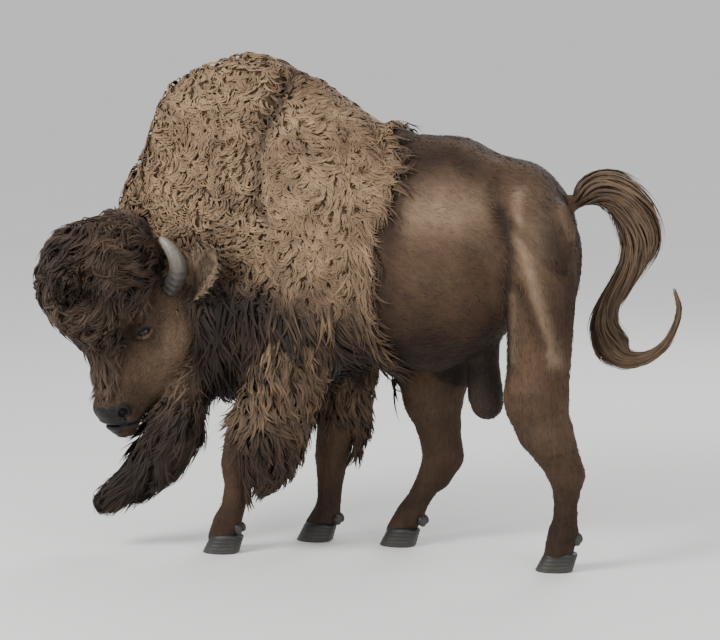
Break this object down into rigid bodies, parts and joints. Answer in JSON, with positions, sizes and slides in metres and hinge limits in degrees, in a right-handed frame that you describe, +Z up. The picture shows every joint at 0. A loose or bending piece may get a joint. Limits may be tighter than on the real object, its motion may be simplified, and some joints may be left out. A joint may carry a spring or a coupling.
{
  "type": "bison model",
  "caption": "Life-size standing model of a bull bison with a high humped shoulder, lowered shaggy head, short curved horns, beard and raised tail.",
  "frame": {"origin": "on the floor under the middle of the whole animal's bounding box, hooves standing at z 0", "axes": "+X towards the tail, so the animal faces -X; +Y towards its right side; +Z up"},
  "size_m": [2.2932, 0.8588, 1.8299],
  "materials": {
    "long_hair": "dark shaggy hair of the bonnet, beard, forelegs and tail",
    "wool": "curly golden-brown wool of the hump, neck and shoulders",
    "sleek_hair": "short smooth brown hair of the rear body and lower legs",
    "horn": "ringed blackish horn, smooth and paler towards the tip",
    "eye": "dark wet eye",
    "hoof": "dull black hoof wall"
  },
  "bodies": {
    "root": {"barrel": "sleek_hair", "beard": "long_hair", "claw_fore_left_inner": "hoof", "claw_fore_left_outer": "hoof", "claw_fore_right_inner": "hoof", "claw_fore_right_outer": "hoof", "claw_hind_left_inner": "hoof", "claw_hind_left_outer": "hoof", "claw_hind_right_inner": "hoof", "claw_hind_right_outer": "hoof", "dewclaw_fore_left_inner": "hoof", "dewclaw_fore_left_outer": "hoof", "dewclaw_fore_right_inner": "hoof", "dewclaw_fore_right_outer": "hoof", "dewclaw_hind_left_inner": "hoof", "dewclaw_hind_left_outer": "hoof", "dewclaw_hind_right_inner": "hoof", "dewclaw_hind_right_outer": "hoof", "ear_left": "long_hair", "ear_right": "long_hair", "eye_left": "eye", "eye_right": "eye", "foreleg_fringe_left": "long_hair", "foreleg_fringe_right": "long_hair", "foreleg_lower_left": "sleek_hair", "foreleg_lower_right": "sleek_hair", "foreleg_upper_left": "long_hair", "foreleg_upper_right": "long_hair", "forelock": "long_hair", "forequarters": "wool", "head": "long_hair", "hind_lower_left": "sleek_hair", "hind_lower_right": "sleek_hair", "hind_shank_left": "sleek_hair", "hind_shank_right": "sleek_hair", "hindquarters": "sleek_hair", "horn_left": "horn", "horn_right": "horn", "neck": "wool", "scrotum": "sleek_hair", "tail_arch": "long_hair", "tail_drop": "long_hair", "tail_root": "sleek_hair", "tail_tuft": "long_hair", "tail_wisp": "long_hair", "thigh_left": "sleek_hair", "thigh_right": "sleek_hair"}
  },
  "joints": []
}
